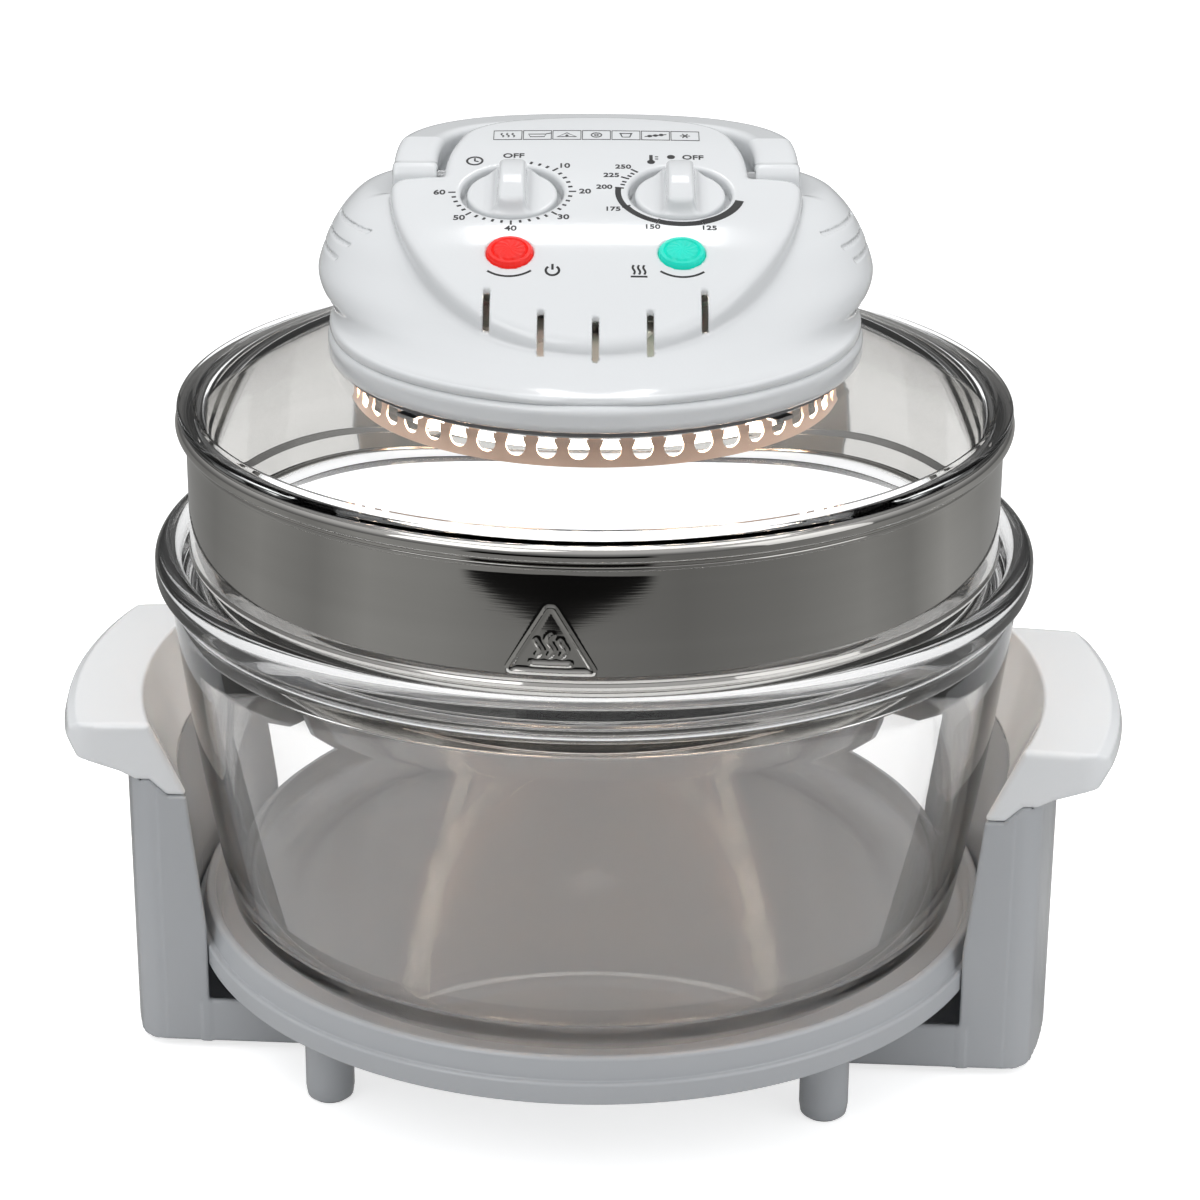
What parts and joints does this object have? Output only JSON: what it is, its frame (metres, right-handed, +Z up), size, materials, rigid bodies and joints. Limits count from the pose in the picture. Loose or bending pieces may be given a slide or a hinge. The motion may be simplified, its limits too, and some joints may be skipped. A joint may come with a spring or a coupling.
{
  "type": "halogen oven",
  "caption": "Countertop halogen oven: round glass bowl in a white base with crescent grips, steel extender ring, clear lid and a white control head with knobs and a fold-down carry handle.",
  "frame": {"origin": "on the table, on the bowl's axis", "axes": "+Z up, control panel facing -Y, side grips along X (the base stands turned 3.6 degrees under the head)"},
  "size_m": [0.41, 0.334, 0.3419],
  "materials": {
    "white_gloss": "polished moulded white plastic",
    "white_base": "polished moulded pale plastic",
    "grey_rubber": "matt moulded rubber",
    "zinc_steel": "zinc plated steel",
    "smoky_glass": "clear tempered glass with a faint grey tint",
    "clear_glass": "clear tempered glass",
    "steel_ring": "rolled stainless steel, fine horizontal brushing",
    "lamp_steel": "bright steel warmed by the lamp",
    "red_lens": "clear red moulded lens",
    "green_lens": "clear blue-green moulded lens",
    "lamp_glass": "quartz glass, lit",
    "dark_plastic": "satin moulded plastic",
    "copper": "drawn copper",
    "insulation": "pressed mineral board",
    "ceramic_white": "unglazed ceramic",
    "aluminium_fan": "stamped sheet"
  },
  "bodies": {
    "base": {"base_tray": "white_base", "side_bracket_left": "white_base", "side_bracket_right": "white_base", "handle_grip_left": "white_gloss", "handle_grip_right": "white_gloss", "feet": "white_base", "foot_pads": "grey_rubber", "bracket_screws": "zinc_steel"},
    "bowl": {"glass_bowl": "smoky_glass"},
    "ring": {"extender_ring": "steel_ring"},
    "head": {"glass_lid": "clear_glass", "lid_gasket": "grey_rubber", "lid_clips": "zinc_steel", "lower_housing": "white_gloss", "upper_housing": "white_gloss", "power_lens": "red_lens", "heat_lens": "green_lens", "neon_lamps": "lamp_glass", "timer_unit": "dark_plastic", "thermostat_unit": "dark_plastic", "thermostat_bulb": "copper", "safety_switch": "dark_plastic", "motor": "zinc_steel", "motor_bracket": "zinc_steel", "insulation": "insulation", "reflector_plate": "lamp_steel", "halogen_tube": "lamp_glass", "tube_holders": "ceramic_white", "perforated_shade": "lamp_steel", "fan_guard": "zinc_steel", "handle_pins": "zinc_steel", "housing_screws": "zinc_steel", "terminal_block": "ceramic_white", "cord_bush": "grey_rubber"},
    "rotor": {"motor_shaft": "zinc_steel", "cooling_fan": "aluminium_fan", "convection_fan": "aluminium_fan"},
    "timer_dial": {"timer_knob": "white_gloss"},
    "thermostat_dial": {"thermostat_knob": "white_gloss"},
    "bow": {"carry_handle": "white_gloss"},
    "plunger": {"switch_plunger": "dark_plastic"}
  },
  "joints": [
    {"name": "bowl_lift", "type": "slide", "parent": "base", "child": "bowl", "axis": [0, 0, 1], "range_m": [0, 0.12]},
    {"name": "ring_lift", "type": "slide", "parent": "bowl", "child": "ring", "axis": [0, 0, 1], "range_m": [0, 0.08]},
    {"name": "lid_lift", "type": "slide", "parent": "ring", "child": "head", "axis": [0, 0, 1], "range_m": [0, 0.1]},
    {"name": "handle_fold", "type": "hinge", "parent": "head", "child": "bow", "pos_m": [0, 0.0246, 0.3284], "axis": [1, 0, 0], "range_deg": [0, 90]},
    {"name": "timer_turn", "type": "hinge", "parent": "head", "child": "timer_dial", "pos_m": [-0.031, 0.005, 0.328], "axis": [0, -0.2706, 0.9627], "range_deg": [-270, 0]},
    {"name": "thermostat_turn", "type": "hinge", "parent": "head", "child": "thermostat_dial", "pos_m": [0.031, 0.005, 0.328], "axis": [0, -0.2706, 0.9627], "range_deg": [-300, 0]},
    {"name": "fan_spin", "type": "hinge", "parent": "head", "child": "rotor", "pos_m": [0, 0, 0.28], "axis": [0, 0, 1], "continuous": true},
    {"name": "switch_travel", "type": "slide", "parent": "head", "child": "plunger", "axis": [0, 0, 1], "range_m": [0, 0.0016]}
  ],
  "couplings": [
    {"joint": "switch_travel", "follows": "handle_fold", "m_per_rad": 0.00095}
  ]
}
